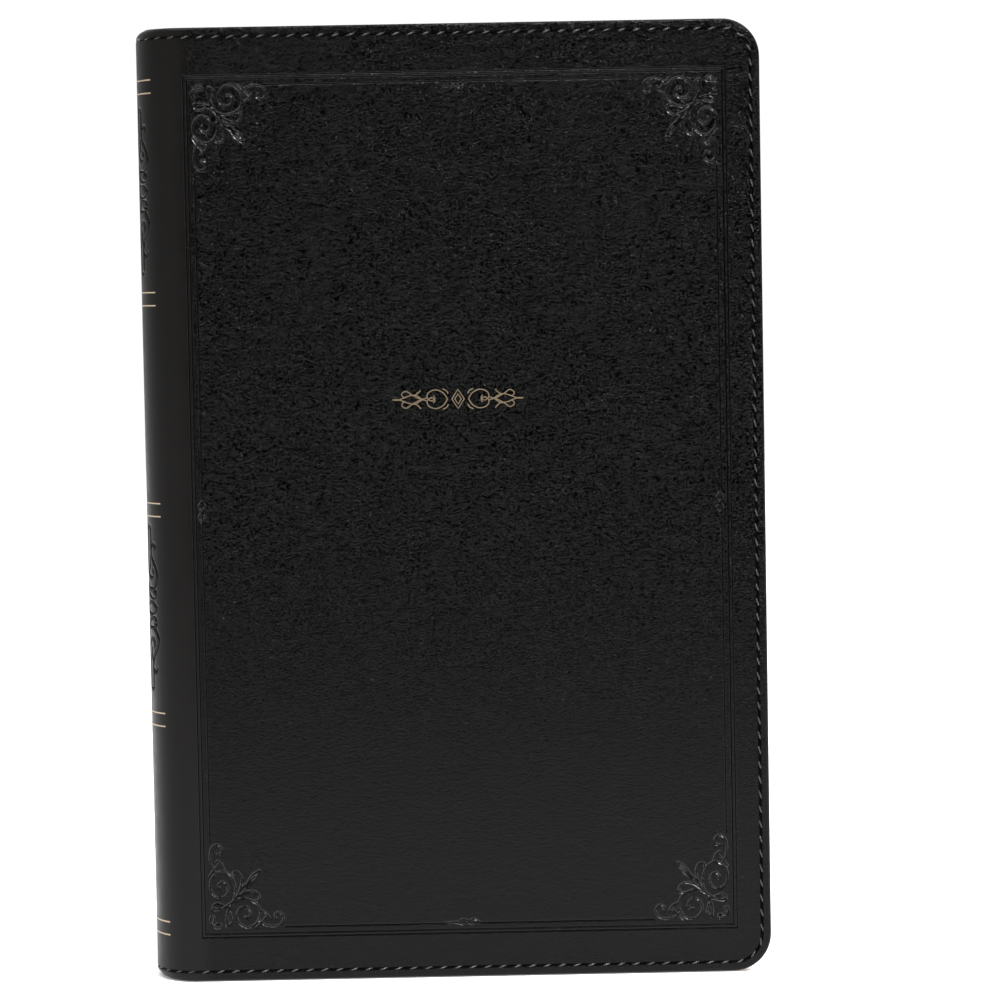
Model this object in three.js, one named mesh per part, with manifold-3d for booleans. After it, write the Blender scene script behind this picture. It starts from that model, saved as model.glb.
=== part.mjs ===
// A flexible-cover bible, standing on its tail edge: +Z is the head, the front cover faces -Y,
// the round spine is on the -X side. Millimetres, origin at the middle of the footprint.
import * as THREE from 'three';
import { mergeVertices } from 'three/addons/utils/BufferGeometryUtils.js';
import Module from 'manifold-3d';

const wasm = await Module();
wasm.setup();

// Overall sizes.
const coverHeight = 236; // head to tail
const panelWidth = 142.8; // hinge line to fore-edge
const bookThickness = 27; // over both covers
const spineDepth = 11.2; // how far the spine stands out past the hinge lines
const cornerRadius = 9.3; // fore-edge corners of the covers

// The case: leather over a flexible board, turned in round the edges, with a lining.
const leatherThickness = 0.75;
const boardThickness = 0.8;
const liningThickness = 0.5;
const turnInWidth = 8;
const skiveWidth = 0.6; // over which the spine's turn-in thins out
const edgeRound = 0.9; // rounding of the turned edges
const headcapRound = 2.6; // rounding of the spine's two ends
const boardSetback = 11; // hinge line to board, where the leather flexes
const stiffenerThickness = 0.5;

// Perimeter stitching, sunk in a channel.
const stitchInset = 2.4;
const threadRadius = 0.2;
const channelWidth = 0.8;
const channelDepth = 0.5;

// The text block.
const squareWidth = 3; // the covers' overhang past the pages
const spineHollow = 4.5; // from the spine's outer face to the sewn back, when closed
const foreEdgeHollow = 5; // how far the fore-edge curves in at the middle
const pageCornerRadius = 7;
const flyleafThickness = 0.25;
const middleThickness = 5.2; // of the sections that stay with the spine
const middleCount = 4;
const sectionShares = [5, 7, 9, 12, 16, 20, 25]; // thickness of the turning sections, outermost first
const mullThickness = 0.3;
const mullSetback = 12; // from the head and tail of the pages
const tubeWall = 0.3;
const bandRadius = 1.1; // headband and tailband

// Clearances.
const hingeGap = 0.1; // each side of a hinge line
const leafGap = 0.1; // between neighbours in the text block
const glueGap = 0.05; // between layers of the case
const coverGap = 0.15; // covers to flyleaves
const hollowGap = 0.25; // round the hollow tube

// Fineness of the round stretches.
const cornerSteps = 8;
const arcSteps = 28;
const threadSides = 6;
const bandSides = 8;

// Worked out from the sizes above.
const hingeX = (spineDepth - panelWidth) / 2;
const foreEdgeX = hingeX + panelWidth;
const halfThickness = bookThickness / 2;
const pocketDepth = boardThickness + 2 * glueGap;
const coverThickness = 2 * leatherThickness + pocketDepth;
const textHalf = halfThickness - coverThickness - coverGap;
const backDepth = spineDepth - spineHollow; // rounding of the sewn back
const pageLow = squareWidth;
const pageHigh = coverHeight - squareWidth;
const pageEdgeX = foreEdgeX - squareWidth;
const spineX = hingeX - hingeGap;
const spineReach = spineDepth - hingeGap;
const trimAllowance = 5; // how far blanks run past the hinge line before they are cut

const colours = {
  leather: 0x17181a, board: 0xb9aa8e, lining: 0x1b1a1c, thread: 0x0c0c0d, card: 0x8f8570,
  paper: 0xf2ecdc, endpaper: 0xe7dfc9, glue: 0xd9cdb0, cloth: 0xd8d2c4, band: 0xc8b27a,
};

// A geometry as a manifold solid, and back.
function toSolid(geometry) {
  const bare = geometry.clone();
  bare.deleteAttribute('normal');
  bare.deleteAttribute('uv');
  const merged = mergeVertices(bare, 1e-4);
  return new wasm.Manifold(new wasm.Mesh({
    numProp: 3,
    vertProperties: new Float32Array(merged.attributes.position.array),
    triVerts: new Uint32Array(merged.index.array),
  }));
}

function toGeometry(solid) {
  const mesh = solid.getMesh();
  const geometry = new THREE.BufferGeometry();
  geometry.setAttribute('position', new THREE.BufferAttribute(new Float32Array(mesh.vertProperties), 3));
  geometry.setIndex(new THREE.BufferAttribute(new Uint32Array(mesh.triVerts), 1));
  geometry.computeVertexNormals();
  return geometry;
}

// A line from the hinge side round the two fore-edge corners and back.
function panelPath(startX, endX, low, high, radius) {
  const points = [new THREE.Vector2(startX, high)];
  const addCorner = (centreZ, fromAngle) => {
    for (let i = 0; i <= cornerSteps; i++) {
      const angle = fromAngle - (i / cornerSteps) * Math.PI / 2;
      points.push(new THREE.Vector2(endX - radius + radius * Math.cos(angle), centreZ + radius * Math.sin(angle)));
    }
  };
  addCorner(high - radius, Math.PI / 2);
  addCorner(low + radius, 0);
  points.push(new THREE.Vector2(startX, low));
  return points;
}

// The same line on a cover, inset from its three free edges.
function coverPath(startX, inset) {
  const radius = Math.max(cornerRadius - inset, 1);
  return panelPath(startX, foreEdgeX - inset, inset, coverHeight - inset, radius);
}

// A slab between two depths below the outer face of one cover: side is -1 at the front, 1 at the back.
function slab(path, side, outerDepth, innerDepth, round = 0) {
  const thickness = innerDepth - outerDepth;
  const geometry = new THREE.ExtrudeGeometry(new THREE.Shape(path), {
    depth: thickness - 2 * round, bevelEnabled: round > 0, bevelThickness: round,
    bevelSize: round, bevelOffset: -round, bevelSegments: 3,
  });
  geometry.translate(0, 0, round);
  geometry.rotateX(Math.PI / 2);
  const outerY = side * (halfThickness - outerDepth);
  const innerY = side * (halfThickness - innerDepth);
  geometry.translate(0, Math.max(outerY, innerY), 0);
  return geometry;
}

// A straight piece with one section, standing between two heights.
function upright(points, low, high) {
  const geometry = new THREE.ExtrudeGeometry(new THREE.Shape(points), { depth: high - low, bevelEnabled: false });
  geometry.translate(0, 0, low);
  return geometry;
}

// Points on a half-oval that bulges towards -X from the spine line, front to back.
function ovalPoints(reach, half, fromTurn = 0, toTurn = 1) {
  const points = [];
  for (let i = 0; i <= arcSteps; i++) {
    const angle = Math.PI * (fromTurn + (toTurn - fromTurn) * i / arcSteps);
    points.push(new THREE.Vector2(spineX - reach * Math.sin(angle), -half * Math.cos(angle)));
  }
  return points;
}

// The section of a thin strip bent round the back, given its outer oval and its thickness.
function stripSection(reach, half, thickness, fromTurn, toTurn) {
  const outer = ovalPoints(reach, half, fromTurn, toTurn);
  const inner = ovalPoints(reach - thickness, half - thickness, fromTurn, toTurn);
  return [...outer, ...inner.reverse()];
}

// A closed tube through frames, each a centre and the two directions that span its ring.
function tube(frames, radius, sides) {
  const positions = [];
  for (const { centre, across, up } of frames) {
    for (let i = 0; i < sides; i++) {
      const angle = 2 * Math.PI * i / sides;
      const point = centre.clone()
        .addScaledVector(across, radius * Math.cos(angle))
        .addScaledVector(up, radius * Math.sin(angle));
      positions.push(point.x, point.y, point.z);
    }
  }
  const index = [];
  const last = (frames.length - 1) * sides;
  for (let ring = 0; ring + 1 < frames.length; ring++) {
    for (let i = 0; i < sides; i++) {
      const a = ring * sides + i;
      const b = ring * sides + (i + 1) % sides;
      index.push(a, b, b + sides, a, b + sides, a + sides);
    }
  }
  for (let i = 1; i + 1 < sides; i++) {
    index.push(0, i + 1, i, last, last + i, last + i + 1);
  }
  return closedGeometry(positions, index);
}

// A closed sheet between two grids of points that match row by row.
function sheet(outerRows, innerRows) {
  const rows = outerRows.length;
  const columns = outerRows[0].length;
  const positions = [...outerRows, ...innerRows].flat().flatMap((point) => [point.x, point.y, point.z]);
  const index = [];
  const quad = (a, b, c, d) => index.push(a, b, c, a, c, d);
  const outerAt = (row, column) => row * columns + column;
  const innerAt = (row, column) => (rows + row) * columns + column;
  for (let r = 0; r + 1 < rows; r++) {
    for (let c = 0; c + 1 < columns; c++) {
      quad(outerAt(r, c), outerAt(r, c + 1), outerAt(r + 1, c + 1), outerAt(r + 1, c));
      quad(innerAt(r, c), innerAt(r + 1, c), innerAt(r + 1, c + 1), innerAt(r, c + 1));
    }
    quad(outerAt(r, 0), outerAt(r + 1, 0), innerAt(r + 1, 0), innerAt(r, 0));
    quad(outerAt(r, columns - 1), innerAt(r, columns - 1), innerAt(r + 1, columns - 1), outerAt(r + 1, columns - 1));
  }
  for (let c = 0; c + 1 < columns; c++) {
    quad(outerAt(0, c), innerAt(0, c), innerAt(0, c + 1), outerAt(0, c + 1));
    quad(outerAt(rows - 1, c), outerAt(rows - 1, c + 1), innerAt(rows - 1, c + 1), innerAt(rows - 1, c));
  }
  return closedGeometry(positions, index);
}

// A geometry from bare arrays, turned so that its faces point out.
function closedGeometry(positions, index) {
  let volume = 0;
  const corner = (i) => new THREE.Vector3().fromArray(positions, 3 * index[i]);
  for (let i = 0; i < index.length; i += 3) {
    volume += corner(i).dot(corner(i + 1).cross(corner(i + 2)));
  }
  if (volume < 0) index.reverse();
  const geometry = new THREE.BufferGeometry();
  geometry.setAttribute('position', new THREE.Float32BufferAttribute(positions, 3));
  geometry.setIndex(index);
  geometry.computeVertexNormals();
  return geometry;
}

const book = new THREE.Group();

function addPiece(name, geometry, colour, roughness) {
  const mesh = new THREE.Mesh(geometry, new THREE.MeshStandardMaterial({ color: colour, roughness, metalness: 0 }));
  mesh.name = name;
  book.add(mesh);
}

// Cover leather: turned in round three edges, with a pocket for the board, an opening for the
// lining and a channel for the stitching, and cut flat at the hinge line.
function coverLeather(side) {
  const startX = hingeX - trimAllowance;
  const blank = toSolid(slab(coverPath(startX, 0), side, 0, coverThickness, edgeRound));
  const pocket = toSolid(slab(
    coverPath(startX - 1, leatherThickness), side, leatherThickness, leatherThickness + pocketDepth));
  const opening = toSolid(slab(
    coverPath(startX - 1, turnInWidth), side, leatherThickness + glueGap, coverThickness + 1));
  const channelOuter = toSolid(slab(
    coverPath(startX - 1, stitchInset - channelWidth / 2), side, -1, channelDepth));
  const channelInner = toSolid(slab(
    coverPath(startX - 2, stitchInset + channelWidth / 2), side, -2, channelDepth + 1));
  const trim = new THREE.BoxGeometry(2 * trimAllowance, 2 * bookThickness, 2 * coverHeight);
  trim.translate(hingeX + hingeGap - trimAllowance, 0, coverHeight / 2);
  return toGeometry(blank
    .subtract(pocket)
    .subtract(opening)
    .subtract(channelOuter.subtract(channelInner))
    .subtract(toSolid(trim)));
}

// The perimeter thread of one cover, in its channel.
function coverThread(side) {
  const path = coverPath(hingeX + hingeGap + threadRadius, stitchInset);
  const y = side * (halfThickness - channelDepth / 2);
  const frames = path.map((point, i) => {
    const before = path[Math.max(i - 1, 0)];
    const after = path[Math.min(i + 1, path.length - 1)];
    const along = after.clone().sub(before).normalize();
    return {
      centre: new THREE.Vector3(point.x, y, point.y),
      across: new THREE.Vector3(-along.y, 0, along.x),
      up: new THREE.Vector3(0, side, 0),
    };
  });
  return tube(frames, threadRadius, threadSides);
}

// How far the spine's surface draws in near its ends: little at the hinge lines, more at the middle.
function endDrawIn(turn, fromEnd) {
  const round = edgeRound + (headcapRound - edgeRound) * Math.sin(Math.PI * turn);
  const rest = Math.max(round - fromEnd, 0);
  return round - Math.sqrt(round * round - rest * rest);
}

// A point at some depth below the spine's outer surface.
function spinePoint(turn, height, depth) {
  const fromEnd = Math.min(height, coverHeight - height);
  const inset = endDrawIn(turn, fromEnd) + depth;
  const angle = Math.PI * turn;
  return new THREE.Vector3(
    spineX - (spineReach - inset) * Math.sin(angle), -(halfThickness - inset) * Math.cos(angle), height);
}

// Spine leather: one bent sheet, doubled by its turn-ins at the head and tail, with two channels.
function spineLeather() {
  const channelEdge = channelWidth / 2;
  const wall = 0.1; // slope of the channel's sides
  const endRows = [
    [0, 0, 2], [0.1, 0, 2], [0.35, 0, 2], [0.8, 0, 2],
    [stitchInset - channelEdge - wall, 0, 2], [stitchInset - channelEdge, channelDepth, 2],
    [stitchInset + channelEdge, channelDepth, 2], [stitchInset + channelEdge + wall, 0, 2],
    [Math.max(headcapRound, stitchInset + channelWidth) + wall, 0, 2],
    [turnInWidth, 0, 2], [turnInWidth + skiveWidth, 0, 1],
  ];
  const rows = [
    ...endRows.map(([height, sunk, layers]) => ({ height, sunk, layers })),
    ...endRows.map(([height, sunk, layers]) => ({ height: coverHeight - height, sunk, layers })).reverse(),
  ];
  const turns = Array.from({ length: arcSteps + 1 }, (_, i) => i / arcSteps);
  const outer = rows.map(({ height, sunk }) => turns.map((turn) => spinePoint(turn, height, sunk)));
  const inner = rows.map(({ height, layers }) => turns.map(
    (turn) => spinePoint(turn, height, layers * leatherThickness)));
  return sheet(outer, inner);
}

function spineThread(height) {
  const frames = [];
  for (let i = 0; i <= arcSteps; i++) {
    const turn = 0.01 + 0.98 * i / arcSteps;
    const angle = Math.PI * turn;
    frames.push({
      centre: spinePoint(turn, height, channelDepth / 2),
      across: new THREE.Vector3(-Math.sin(angle), -Math.cos(angle), 0),
      up: new THREE.Vector3(0, 0, 1),
    });
  }
  return tube(frames, threadRadius, threadSides);
}

// A thin card strip that holds the spine's curve, between the turn-ins.
function spineStiffener() {
  const depth = leatherThickness + glueGap;
  const clear = turnInWidth + skiveWidth + glueGap;
  return upright(
    stripSection(spineReach - depth, halfThickness - depth, stiffenerThickness, 0.14, 0.86),
    clear, coverHeight - clear);
}

// The flattened paper tube that joins the sewn back to the spine and lets it spring open.
function hollowTube() {
  const outerDepth = leatherThickness + glueGap + stiffenerThickness + hollowGap;
  const innerDepth = mullThickness + leafGap + hollowGap;
  const fromTurn = 0.16;
  const toTurn = 1 - fromTurn;
  const crescent = (wall, turnTrim, low, high) => toSolid(upright([
    ...ovalPoints(spineReach - outerDepth - wall, halfThickness - outerDepth - wall,
      fromTurn + turnTrim, toTurn - turnTrim),
    ...ovalPoints(backDepth + innerDepth + wall, textHalf + innerDepth + wall,
      fromTurn + turnTrim, toTurn - turnTrim).reverse(),
  ], low, high));
  const outside = crescent(0, 0, pageLow + turnInWidth, pageHigh - turnInWidth);
  const inside = crescent(tubeWall, 0.02, 0, coverHeight);
  return toGeometry(outside.subtract(inside));
}

// Cloth glued over the sewn back.
function mull() {
  const depth = mullThickness + leafGap;
  return upright(
    stripSection(backDepth + depth, textHalf + depth, mullThickness, 0.12, 0.88),
    pageLow + mullSetback, pageHigh - mullSetback);
}

// The folded and glued spine edges of all the sections.
function sewnBack() {
  return upright(ovalPoints(backDepth, textHalf), pageLow, pageHigh);
}

// A bead of wound cloth over the end of the sewn back.
function endBand(height) {
  const frames = [];
  for (let i = 0; i <= arcSteps; i++) {
    const turn = 0.06 + 0.88 * i / arcSteps;
    const angle = Math.PI * turn;
    frames.push({
      centre: new THREE.Vector3(
        spineX - (backDepth - bandRadius) * Math.sin(angle), -(textHalf - bandRadius) * Math.cos(angle), height),
      across: new THREE.Vector3(-Math.sin(angle), -Math.cos(angle), 0),
      up: new THREE.Vector3(0, 0, 1),
    });
  }
  return tube(frames, bandRadius, bandSides);
}

// A block of leaves between two depths below the outer face of one side. The leaves are all as
// wide, so the fore-edge is hollow where the back is round.
function leaves(side, outerDepth, innerDepth) {
  const middleY = halfThickness - (outerDepth + innerDepth) / 2;
  const hollow = foreEdgeHollow * (1 - (middleY / textHalf) ** 2);
  const path = panelPath(hingeX + hingeGap, pageEdgeX - hollow, pageLow, pageHigh, pageCornerRadius);
  return slab(path, side, outerDepth, innerDepth);
}

addPiece('spine_leather', spineLeather(), colours.leather, 0.45);
addPiece('spine_head_stitching', spineThread(coverHeight - stitchInset), colours.thread, 0.6);
addPiece('spine_tail_stitching', spineThread(stitchInset), colours.thread, 0.6);
addPiece('spine_stiffener', spineStiffener(), colours.card, 0.9);
addPiece('hollow_tube', hollowTube(), colours.card, 0.9);
addPiece('mull', mull(), colours.cloth, 0.95);
addPiece('sewn_back', sewnBack(), colours.glue, 0.9);
addPiece('headband', endBand(pageHigh + bandRadius + leafGap), colours.band, 0.7);
addPiece('tailband', endBand(pageLow - bandRadius - leafGap), colours.band, 0.7);

// The sections that stay with the spine, side by side across the middle.
const firstMiddleDepth = halfThickness - middleThickness / 2;
const middlePitch = middleThickness / middleCount;
for (let i = 0; i < middleCount; i++) {
  const depth = firstMiddleDepth + i * middlePitch + leafGap / 2;
  addPiece(`middle_section_${i + 1}`, leaves(-1, depth, depth + middlePitch - leafGap), colours.paper, 0.85);
}

// Each side has a cover, a flyleaf and the sections that turn with it.
const shareTotal = sectionShares.reduce((sum, share) => sum + share, 0);
for (const [word, side] of [['front', -1], ['back', 1]]) {
  const boardDepth = leatherThickness + glueGap;
  const liningDepth = boardDepth + boardThickness + glueGap;
  addPiece(`${word}_leather`, coverLeather(side), colours.leather, 0.45);
  addPiece(`${word}_stitching`, coverThread(side), colours.thread, 0.6);
  addPiece(`${word}_board`, slab(
    coverPath(hingeX + boardSetback, leatherThickness + glueGap), side, boardDepth, boardDepth + boardThickness,
  ), colours.board, 0.9);
  addPiece(`${word}_lining`, slab(
    coverPath(hingeX + hingeGap, turnInWidth + glueGap), side, liningDepth, liningDepth + liningThickness,
  ), colours.lining, 0.6);

  let depth = coverThickness + coverGap;
  addPiece(`${word}_flyleaf`, leaves(side, depth, depth + flyleafThickness), colours.endpaper, 0.85);
  depth += flyleafThickness + leafGap;
  const turningThickness = firstMiddleDepth - depth;
  sectionShares.forEach((share, i) => {
    const thickness = turningThickness * share / shareTotal;
    addPiece(`${word}_section_${i + 1}`, leaves(side, depth, depth + thickness - leafGap), colours.paper, 0.85);
    depth += thickness;
  });
}

export default book;
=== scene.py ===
import math

import bmesh
import bpy
from mathutils import Matrix, Vector


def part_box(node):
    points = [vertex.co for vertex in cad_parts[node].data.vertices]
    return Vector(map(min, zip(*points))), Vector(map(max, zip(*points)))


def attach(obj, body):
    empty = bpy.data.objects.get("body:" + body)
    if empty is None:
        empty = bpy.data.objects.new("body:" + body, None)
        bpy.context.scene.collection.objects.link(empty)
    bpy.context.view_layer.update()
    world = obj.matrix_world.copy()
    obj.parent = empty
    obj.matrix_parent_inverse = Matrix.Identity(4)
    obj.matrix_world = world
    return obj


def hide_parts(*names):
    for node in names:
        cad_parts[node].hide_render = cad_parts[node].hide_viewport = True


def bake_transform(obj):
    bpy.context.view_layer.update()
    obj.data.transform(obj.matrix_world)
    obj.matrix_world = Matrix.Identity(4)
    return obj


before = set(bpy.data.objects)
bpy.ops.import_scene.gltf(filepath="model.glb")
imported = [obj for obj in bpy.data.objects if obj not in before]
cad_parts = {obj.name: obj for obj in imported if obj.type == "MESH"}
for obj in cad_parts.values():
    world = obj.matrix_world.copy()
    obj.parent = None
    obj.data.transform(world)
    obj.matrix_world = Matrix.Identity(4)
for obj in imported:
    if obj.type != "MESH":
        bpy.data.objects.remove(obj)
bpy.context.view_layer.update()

mm = 0.001
tiny = 0.00001

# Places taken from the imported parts.
frontLow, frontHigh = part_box("front_leather")
spineLow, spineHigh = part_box("spine_leather")
leafLow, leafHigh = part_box("front_flyleaf")
backLow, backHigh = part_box("sewn_back")
hingeX = (spineHigh.x + frontLow.x) / 2
foreEdgeX = frontHigh.x
halfThickness = -frontLow.y
bookHeight = frontHigh.z
coverThickness = frontHigh.y - frontLow.y
spineReach = hingeX - spineLow.x
textHalf = backHigh.y
backReach = hingeX - backLow.x
bendLength = 10 * mm  # of the covers, from the hinge line
leafBendLength = 16 * mm


# Selecting and editing.
def deselectAll():
    bpy.ops.object.select_all(action="DESELECT")


def selectOnly(piece):
    deselectAll()
    piece.select_set(True)
    bpy.context.view_layer.objects.active = piece


def copyOf(piece):
    selectOnly(piece)
    bpy.ops.object.duplicate()
    return bpy.context.object


def deletePiece(piece):
    selectOnly(piece)
    bpy.ops.object.delete()


def applyPlace():
    bpy.ops.object.transform_apply(location=True, rotation=True, scale=True)


def selectWhole():
    bpy.ops.mesh.select_all(action="SELECT")


def startEdit(piece):
    selectOnly(piece)
    bpy.ops.object.mode_set(mode="EDIT")


def finishEdit():
    bpy.ops.object.mode_set(mode="OBJECT")


def near(a, b, slack=tiny):
    return abs(a - b) < slack


def pick(piece, kind, test):
    bpy.ops.mesh.select_mode(type=kind)
    bpy.ops.mesh.select_all(action="DESELECT")
    shape = bmesh.from_edit_mesh(piece.data)
    parts = {"VERT": shape.verts, "EDGE": shape.edges, "FACE": shape.faces}[kind]
    for part in parts:
        if test(part):
            part.select_set(True)
    shape.select_flush_mode()
    bmesh.update_edit_mesh(piece.data)


def runsAlong(edge, axis):
    span = edge.verts[1].co - edge.verts[0].co
    return abs(span[axis]) > 0.999 * span.length and span.length > 0


def middleOf(edge):
    return (edge.verts[0].co + edge.verts[1].co) / 2


def centreOf(face):
    return face.calc_center_median()


def cutAt(axis, place, **options):
    spot = Vector((0, 0, 0))
    spot[axis] = place
    normal = Vector((0, 0, 0))
    normal[axis] = 1
    bpy.ops.mesh.bisect(plane_co=spot, plane_no=normal, threshold=0.000002, **options)


def addBlock(name, low, high):
    deselectAll()
    low, high = Vector(low), Vector(high)
    bpy.ops.mesh.primitive_cube_add(size=1, location=(low + high) / 2, scale=high - low)
    piece = bpy.context.object
    piece.name = name
    applyPlace()
    return piece


def applyModifier(piece, kind, **settings):
    selectOnly(piece)
    modifier = piece.modifiers.new(kind.lower(), kind)
    for setting, value in settings.items():
        setattr(modifier, setting, value)
    bpy.ops.object.modifier_apply(modifier=modifier.name)


def smoothShade(piece, degrees=35):
    selectOnly(piece)
    bpy.ops.object.shade_smooth_by_angle(angle=math.radians(degrees))


def joinAll(pieces, name):
    deselectAll()
    for piece in pieces:
        piece.select_set(True)
    bpy.context.view_layer.objects.active = pieces[0]
    if len(pieces) > 1:
        bpy.ops.object.join()
    joined = bpy.context.object
    joined.name = name
    applyPlace()
    return joined


def keepRestPlace(piece):
    # patterns read this, so they stay on the surface when it bends
    attribute = piece.data.attributes.new("restPlace", "FLOAT_VECTOR", "POINT")
    for i, vertex in enumerate(piece.data.vertices):
        attribute.data[i].vector = vertex.co


# Splits every stretch of a grid into steps no wider than its zone allows.
def refineGrid(piece, inGrid, axis, zones):
    bpy.ops.mesh.select_mode(type="EDGE")

    def cutsFor(edge):
        place = middleOf(edge)[axis]
        for low, high, step in zones:
            if low - tiny <= place <= high + tiny:
                span = abs(edge.verts[1].co[axis] - edge.verts[0].co[axis])
                return max(math.ceil(span / step - 0.01) - 1, 0)
        return 0

    shape = bmesh.from_edit_mesh(piece.data)
    wanted = set()
    for edge in shape.edges:
        if runsAlong(edge, axis) and inGrid(middleOf(edge)):
            wanted.add(cutsFor(edge))
    for cuts in sorted(wanted - {0}, reverse=True):
        spans = set()
        shape = bmesh.from_edit_mesh(piece.data)
        for edge in shape.edges:
            if runsAlong(edge, axis) and inGrid(middleOf(edge)) and cutsFor(edge) == cuts:
                spans.add(round(middleOf(edge)[axis], 7))
        pick(piece, "EDGE", lambda edge: runsAlong(edge, axis) and inGrid(middleOf(edge))
             and round(middleOf(edge)[axis], 7) in spans and cutsFor(edge) == cuts)
        bpy.ops.mesh.subdivide(number_cuts=cuts)


# Drawing guide lines, by extruding a single point along a smooth path.
def smoothLine(points, steps):
    points = [Vector(p) for p in points]
    line = []
    for i in range(len(points) - 1):
        a, b = points[max(i - 1, 0)], points[i]
        c, d = points[i + 1], points[min(i + 2, len(points) - 1)]
        for k in range(steps):
            t = k / steps
            line.append(
                0.5 * (2 * b + (c - a) * t + (2 * a - 5 * b + 4 * c - d) * t**2
                       + (3 * b - a - 3 * c + d) * t**3)
            )
    line.append(points[-1])
    return line


def drawLine(points):
    deselectAll()
    bpy.ops.mesh.primitive_plane_add(size=mm, location=points[0])
    line = bpy.context.object
    applyPlace()
    bpy.ops.object.mode_set(mode="EDIT")
    bpy.ops.mesh.select_mode(type="VERT")
    selectWhole()
    bpy.ops.mesh.merge(type="CENTER")
    for before, after in zip(points, points[1:]):
        bpy.ops.mesh.extrude_region_move(
            TRANSFORM_OT_translate={"value": Vector(after) - Vector(before)}
        )
    finishEdit()
    return line


# Presses a guide's lines into the selected stretch of a surface.
def pressLines(piece, guide, values):
    applyModifier(
        piece, "VERTEX_WEIGHT_PROXIMITY", vertex_group="pressed", target=guide,
        proximity_mode="GEOMETRY", proximity_geometry={"EDGE"},
        min_dist=values["reach"], max_dist=values["core"], falloff_type="SMOOTH")
    applyModifier(
        piece, "DISPLACE", direction="NORMAL", mid_level=0, strength=-values["depth"],
        vertex_group="pressed")
    for name in ("pressedShare", "glint"):
        if name not in piece.data.attributes:
            piece.data.attributes.new(name, "FLOAT", "POINT")
    share, glint = piece.data.attributes["pressedShare"], piece.data.attributes["glint"]
    for i, vertex in enumerate(piece.data.vertices):
        if vertex.groups and vertex.groups[0].weight > 0:
            share.data[i].value = max(share.data[i].value, vertex.groups[0].weight)
            glint.data[i].value = max(glint.data[i].value, values["glint"])
    deletePiece(guide)


print("stage: materials")


# Node helpers, so that each finish below reads as a short recipe.
def addAttribute(tree, name):
    attribute = tree.nodes.new("ShaderNodeAttribute")
    attribute.attribute_name = name
    return attribute


def splitPlace(tree, place):
    parts = tree.nodes.new("ShaderNodeSeparateXYZ")
    tree.links.new(place, parts.inputs[0])
    return parts.outputs


def newFinish(name, place="restPlace"):
    finish = bpy.data.materials.new(name)
    finish.use_nodes = True
    tree = finish.node_tree
    shader = tree.nodes["Principled BSDF"]
    scaled = tree.nodes.new("ShaderNodeVectorMath")
    scaled.operation = "SCALE"
    scaled.inputs["Scale"].default_value = 1 / mm  # patterns are laid out in millimetres
    if place == "restPlace":
        tree.links.new(addAttribute(tree, place).outputs["Vector"], scaled.inputs[0])
    else:
        source = tree.nodes.new("ShaderNodeTexCoord")
        tree.links.new(source.outputs["Object"], scaled.inputs[0])
    return finish, tree, shader, scaled.outputs[0]


def addNoise(tree, place, scale, detail=2.0, rough=0.5, output="Fac"):
    noise = tree.nodes.new("ShaderNodeTexNoise")
    noise.inputs["Scale"].default_value = scale
    noise.inputs["Detail"].default_value = detail
    noise.inputs["Roughness"].default_value = rough
    tree.links.new(place, noise.inputs["Vector"])
    return noise.outputs[output]


def addStretch(tree, place, stretch):
    mapping = tree.nodes.new("ShaderNodeMapping")
    mapping.inputs["Scale"].default_value = stretch
    tree.links.new(place, mapping.inputs["Vector"])
    return mapping.outputs["Vector"]


def addCells(tree, place, scale):
    cells = tree.nodes.new("ShaderNodeTexVoronoi")
    cells.feature = "DISTANCE_TO_EDGE"
    cells.inputs["Scale"].default_value = scale
    tree.links.new(place, cells.inputs["Vector"])
    return cells.outputs["Distance"]


def addRange(tree, value, fromLow, fromHigh, toLow, toHigh, kind="SMOOTHSTEP"):
    span = tree.nodes.new("ShaderNodeMapRange")
    span.interpolation_type = kind
    span.inputs["From Min"].default_value = fromLow
    span.inputs["From Max"].default_value = fromHigh
    span.inputs["To Min"].default_value = toLow
    span.inputs["To Max"].default_value = toHigh
    tree.links.new(value, span.inputs["Value"])
    return span.outputs["Result"]


def addMath(tree, operation, a, b=None, c=None):
    node = tree.nodes.new("ShaderNodeMath")
    node.operation = operation
    for socket, value in zip(node.inputs, (a, b, c)):
        if value is None:
            continue
        if isinstance(value, (int, float)):
            socket.default_value = value
        else:
            tree.links.new(value, socket)
    return node.outputs[0]


def multiply(tree, a, b):
    return addMath(tree, "MULTIPLY", a, b)


def addDrift(tree, place, noise, amount):
    # moves a pattern sideways by a noise, to break its regularity
    centred = tree.nodes.new("ShaderNodeVectorMath")
    centred.operation = "MULTIPLY_ADD"
    tree.links.new(noise, centred.inputs[0])
    centred.inputs[1].default_value = (amount,) * 3
    tree.links.new(place, centred.inputs[2])
    return centred.outputs[0]


def addMix(tree, factor, a, b):
    # a and b are colours, or the outputs of other nodes
    mix = tree.nodes.new("ShaderNodeMix")
    mix.data_type = "RGBA"
    tree.links.new(factor, mix.inputs["Factor"])
    for name, value in (("A", a), ("B", b)):
        if isinstance(value, tuple):
            mix.inputs[name].default_value = (*value, 1)
        else:
            tree.links.new(value, mix.inputs[name])
    return mix.outputs["Result"]


def addBump(tree, shader, height, distance):
    bump = tree.nodes.new("ShaderNodeBump")
    bump.inputs["Distance"].default_value = distance
    bump.inputs["Strength"].default_value = 1
    tree.links.new(height, bump.inputs["Height"])
    tree.links.new(bump.outputs["Normal"], shader.inputs["Normal"])


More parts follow.
